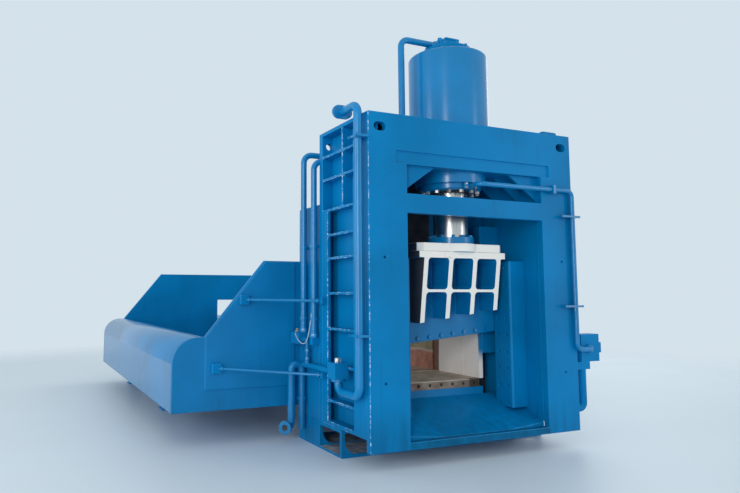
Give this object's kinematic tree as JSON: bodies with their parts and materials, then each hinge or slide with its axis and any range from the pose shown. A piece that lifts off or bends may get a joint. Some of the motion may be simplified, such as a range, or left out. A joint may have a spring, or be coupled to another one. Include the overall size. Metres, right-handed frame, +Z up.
{
  "type": "scrap metal shear",
  "caption": "Hydraulic gantry scrap shear: ribbed frame, overhead cylinder driving a raked blade, hold-down, side-loaded feed box and telescopic pusher.",
  "frame": {"origin": "middle of the sole plate of the gantry base, on the floor", "axes": "+X along the blades to the right seen from the discharge side, +Y along the feed box away from the discharge side, +Z up"},
  "size_m": [4.557, 10.15, 4.591],
  "materials": {
    "blue_paint": "semi-gloss enamel",
    "blade_steel": "ground, part rusted",
    "bolt_steel": "plain steel",
    "rod_chrome": "ground and plated",
    "liner_steel": "worn plate"
  },
  "bodies": {
    "frame": {"base_frame": "blue_paint", "front_plate": "blue_paint", "rear_plate": "blue_paint", "left_column": "blue_paint", "right_column": "blue_paint", "top_beam": "blue_paint", "rear_housing": "blue_paint", "lower_table": "blue_paint", "discharge_chute": "blue_paint", "lower_blade": "blade_steel", "lower_blade_bolts": "bolt_steel", "left_guide": "blue_paint", "right_guide": "blue_paint", "left_cheek": "blue_paint", "right_cheek": "blue_paint", "left_throat_liners": "liner_steel", "right_throat_liners": "liner_steel", "main_cylinder": "blue_paint", "cylinder_ring_nut": "blue_paint", "rod_gland": "blue_paint", "gland_bolts": "bolt_steel", "prefill_valve": "blue_paint", "prefill_bolts": "blue_paint", "prefill_pipe": "blue_paint", "hold_down_cylinders": "blue_paint", "feed_box_body": "blue_paint", "near_end_wall": "blue_paint", "far_end_wall": "blue_paint", "feed_right_wall": "blue_paint", "floor_liner": "liner_steel", "wall_liner": "liner_steel", "feed_legs": "blue_paint", "pusher_cylinder": "blue_paint", "pusher_cradle": "blue_paint", "left_riser_pipe": "blue_paint", "left_riser_clamps": "blue_paint", "left_valve_block": "blue_paint", "rear_pipes": "blue_paint", "rear_manifold": "blue_paint", "rear_pipe_clamps": "blue_paint", "rear_valve_block": "blue_paint", "cross_pipe": "blue_paint", "drain_pipe": "blue_paint", "right_pipe": "blue_paint", "right_pipe_clamps": "blue_paint", "right_valve_block": "blue_paint", "tie_rods": "blue_paint", "tie_rod_brackets": "blue_paint"},
    "ram": {"ram_body": "blue_paint", "upper_blade": "blade_steel", "upper_blade_bolts": "blue_paint", "piston_rod": "rod_chrome", "rod_flange": "blue_paint", "rod_flange_bolts": "blue_paint"},
    "hold_down": {"hold_down_head": "blue_paint", "hold_down_rods": "rod_chrome"},
    "pusher": {"pusher_head": "blue_paint", "pusher_rod": "rod_chrome"},
    "pusher_inner_stage": {"pusher_inner_sleeve": "rod_chrome"},
    "pusher_outer_stage": {"pusher_outer_sleeve": "rod_chrome"}
  },
  "joints": [
    {"name": "ram_slide", "type": "slide", "parent": "frame", "child": "ram", "axis": [0, 0, 1], "range_m": [-0.55, 0.15]},
    {"name": "hold_down_slide", "type": "slide", "parent": "frame", "child": "hold_down", "axis": [0, 0, 1], "range_m": [-0.6, 0]},
    {"name": "pusher_slide", "type": "slide", "parent": "frame", "child": "pusher", "axis": [0, -1, 0], "range_m": [0, 5.8]},
    {"name": "inner_sleeve_slide", "type": "slide", "parent": "frame", "child": "pusher_inner_stage", "axis": [0, -1, 0], "range_m": [0, 3.87]},
    {"name": "outer_sleeve_slide", "type": "slide", "parent": "frame", "child": "pusher_outer_stage", "axis": [0, -1, 0], "range_m": [0, 1.94]}
  ],
  "couplings": [
    {"joint": "inner_sleeve_slide", "follows": "pusher_slide", "ratio": 0.66666},
    {"joint": "outer_sleeve_slide", "follows": "pusher_slide", "ratio": 0.33333}
  ]
}
